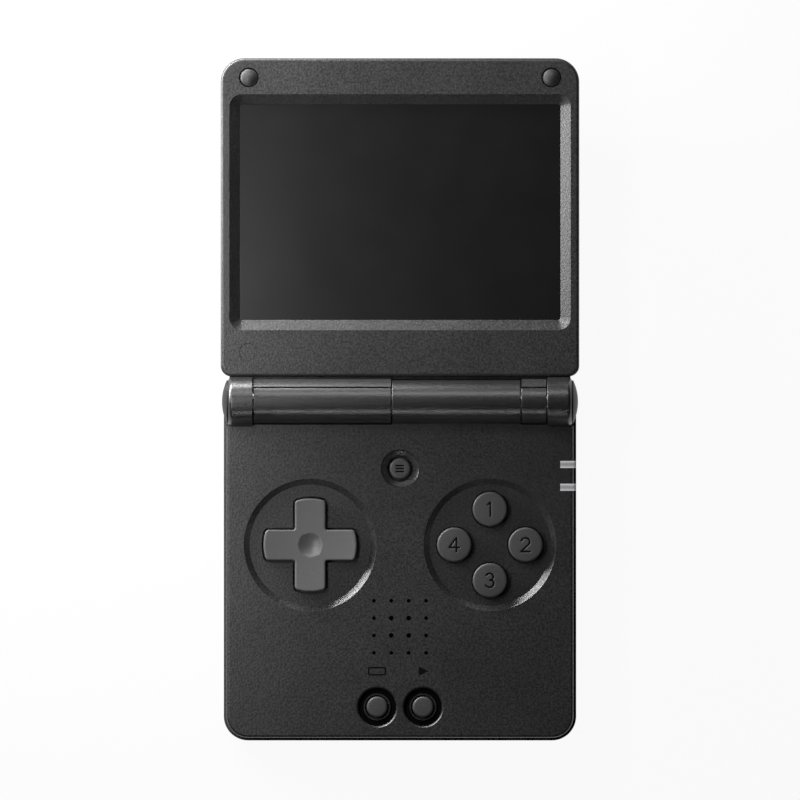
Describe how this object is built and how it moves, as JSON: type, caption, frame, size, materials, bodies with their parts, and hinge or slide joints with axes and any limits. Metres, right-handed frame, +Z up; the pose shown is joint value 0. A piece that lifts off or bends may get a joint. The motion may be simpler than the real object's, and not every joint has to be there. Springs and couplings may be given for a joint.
{
  "type": "clamshell handheld game console",
  "caption": "Folding pocket game console, open flat: lid with screen on a barrel hinge, base with direction pad and round buttons.",
  "frame": {"origin": "on the table under the middle of the open console, halfway between the lid's far edge and the base's front edge", "axes": "+Z up, +Y from the base towards the lid, +X to the player's right"},
  "size_m": [0.0856, 0.163, 0.0218],
  "materials": {
    "black_plastic": "finely textured matte black plastic",
    "button_plastic": "smooth satin dark grey plastic",
    "pad_plastic": "smooth satin mid grey plastic",
    "edge_button_plastic": "satin dark grey plastic",
    "rubber": "soft black rubber",
    "mat_rubber": "grey silicone rubber",
    "lens": "glossy black backed cover glass",
    "light_guide": "translucent pale grey plastic",
    "board": "green lacquered board",
    "metal": "stamped steel",
    "steel": "turned steel",
    "battery_wrap": "wrapped battery cell",
    "cable": "flat flexible cable",
    "panel": "dark display glass",
    "diffuser": "white diffuser",
    "foam": "thin black foam"
  },
  "bodies": {
    "base": {"base_top_shell": "black_plastic", "base_bottom_shell": "black_plastic", "battery_cover": "black_plastic", "rubber_feet": "rubber", "case_screws": "steel", "main_board": "board", "processor_shield": "metal", "battery": "battery_wrap", "battery_lead": "cable", "dpad_membrane": "mat_rubber", "face_membrane": "mat_rubber", "menu_membrane": "mat_rubber", "option_membrane": "mat_rubber", "speaker": "black_plastic", "speaker_mesh": "foam", "light_strips": "light_guide", "charge_port": "metal", "headphone_jack": "black_plastic", "card_slots": "metal", "video_port": "metal", "data_port": "metal", "shoulder_switches": "black_plastic", "side_switches": "black_plastic", "hall_sensor": "black_plastic", "hinge_cap_left": "black_plastic", "hinge_cap_right": "black_plastic", "hinge_barrel": "black_plastic", "hinge_cartridge": "steel", "hinge_pin": "steel", "hinge_flex": "cable"},
    "lid": {"lid_front_shell": "black_plastic", "lid_rear_shell": "black_plastic", "screen_lens": "lens", "lens_adhesive": "foam", "lcd_panel": "panel", "backlight": "diffuser", "panel_foam": "foam", "lid_bumpers": "rubber", "screw_plug": "black_plastic", "lid_screws": "steel", "lid_magnet": "metal", "display_flex": "cable"},
    "dpad": {"dpad": "pad_plastic"},
    "dpad_pivot": {"dpad_pivot": "steel"},
    "button_top": {"button_top": "button_plastic"},
    "button_left": {"button_left": "button_plastic"},
    "button_right": {"button_right": "button_plastic"},
    "button_bottom": {"button_bottom": "button_plastic"},
    "menu_button": {"menu_button": "button_plastic"},
    "option_button_left": {"option_button_left": "button_plastic"},
    "option_button_right": {"option_button_right": "button_plastic"},
    "shoulder_left_outer": {"shoulder_left_outer": "edge_button_plastic"},
    "shoulder_left_inner": {"shoulder_left_inner": "edge_button_plastic"},
    "shoulder_right_inner": {"shoulder_right_inner": "edge_button_plastic"},
    "shoulder_right_outer": {"shoulder_right_outer": "edge_button_plastic"},
    "volume_rocker": {"volume_rocker": "edge_button_plastic"},
    "power_button": {"power_button": "edge_button_plastic"},
    "reset_button": {"reset_button": "edge_button_plastic"}
  },
  "joints": [
    {"name": "lid_hinge", "type": "hinge", "parent": "base", "child": "lid", "pos_m": [0, -0.00057, 0.0159], "axis": [1, 0, 0], "range_deg": [0, 180]},
    {"name": "dpad_pitch", "type": "hinge", "parent": "base", "child": "dpad_pivot", "pos_m": [-0.02146, -0.03485, 0.0106], "axis": [1, 0, 0], "range_deg": [-3.5, 3.5], "stiffness_Nm_per_rad": 0.12, "deforming": ["dpad_membrane"]},
    {"name": "dpad_roll", "type": "hinge", "parent": "dpad_pivot", "child": "dpad", "pos_m": [-0.02146, -0.03485, 0.0106], "axis": [0, 1, 0], "range_deg": [-3.5, 3.5], "stiffness_Nm_per_rad": 0.12},
    {"name": "press_button_top", "type": "slide", "parent": "base", "child": "button_top", "axis": [0, 0, -1], "range_m": [0, 0.0008], "stiffness_N_per_m": 300, "springref_m": -0.001, "deforming": ["face_membrane"]},
    {"name": "press_button_left", "type": "slide", "parent": "base", "child": "button_left", "axis": [0, 0, -1], "range_m": [0, 0.0008], "stiffness_N_per_m": 300, "springref_m": -0.001, "deforming": ["face_membrane"]},
    {"name": "press_button_right", "type": "slide", "parent": "base", "child": "button_right", "axis": [0, 0, -1], "range_m": [0, 0.0008], "stiffness_N_per_m": 300, "springref_m": -0.001, "deforming": ["face_membrane"]},
    {"name": "press_button_bottom", "type": "slide", "parent": "base", "child": "button_bottom", "axis": [0, 0, -1], "range_m": [0, 0.0008], "stiffness_N_per_m": 300, "springref_m": -0.001, "deforming": ["face_membrane"]},
    {"name": "press_menu_button", "type": "slide", "parent": "base", "child": "menu_button", "axis": [0, 0, -1], "range_m": [0, 0.0006], "stiffness_N_per_m": 300, "springref_m": -0.001, "deforming": ["menu_membrane"]},
    {"name": "press_option_left", "type": "slide", "parent": "base", "child": "option_button_left", "axis": [0, 0, -1], "range_m": [0, 0.0006], "stiffness_N_per_m": 300, "springref_m": -0.001, "deforming": ["option_membrane"]},
    {"name": "press_option_right", "type": "slide", "parent": "base", "child": "option_button_right", "axis": [0, 0, -1], "range_m": [0, 0.0006], "stiffness_N_per_m": 300, "springref_m": -0.001, "deforming": ["option_membrane"]},
    {"name": "press_shoulder_left_outer", "type": "slide", "parent": "base", "child": "shoulder_left_outer", "axis": [0, -1, 0], "range_m": [0, 0.0008], "stiffness_N_per_m": 400, "springref_m": -0.001},
    {"name": "press_shoulder_left_inner", "type": "slide", "parent": "base", "child": "shoulder_left_inner", "axis": [0, -1, 0], "range_m": [0, 0.0008], "stiffness_N_per_m": 400, "springref_m": -0.001},
    {"name": "press_shoulder_right_inner", "type": "slide", "parent": "base", "child": "shoulder_right_inner", "axis": [0, -1, 0], "range_m": [0, 0.0008], "stiffness_N_per_m": 400, "springref_m": -0.001},
    {"name": "press_shoulder_right_outer", "type": "slide", "parent": "base", "child": "shoulder_right_outer", "axis": [0, -1, 0], "range_m": [0, 0.0008], "stiffness_N_per_m": 400, "springref_m": -0.001},
    {"name": "rock_volume", "type": "hinge", "parent": "base", "child": "volume_rocker", "pos_m": [-0.0392, -0.02457, 0.0055], "axis": [0, 0, 1], "range_deg": [-3.5, 3.5], "stiffness_Nm_per_rad": 0.05},
    {"name": "press_power_button", "type": "slide", "parent": "base", "child": "power_button", "axis": [-1, 0, 0], "range_m": [0, 0.0004], "stiffness_N_per_m": 500, "springref_m": -0.001},
    {"name": "press_reset_button", "type": "slide", "parent": "base", "child": "reset_button", "axis": [-1, 0, 0], "range_m": [0, 0.0004], "stiffness_N_per_m": 500, "springref_m": -0.001}
  ]
}
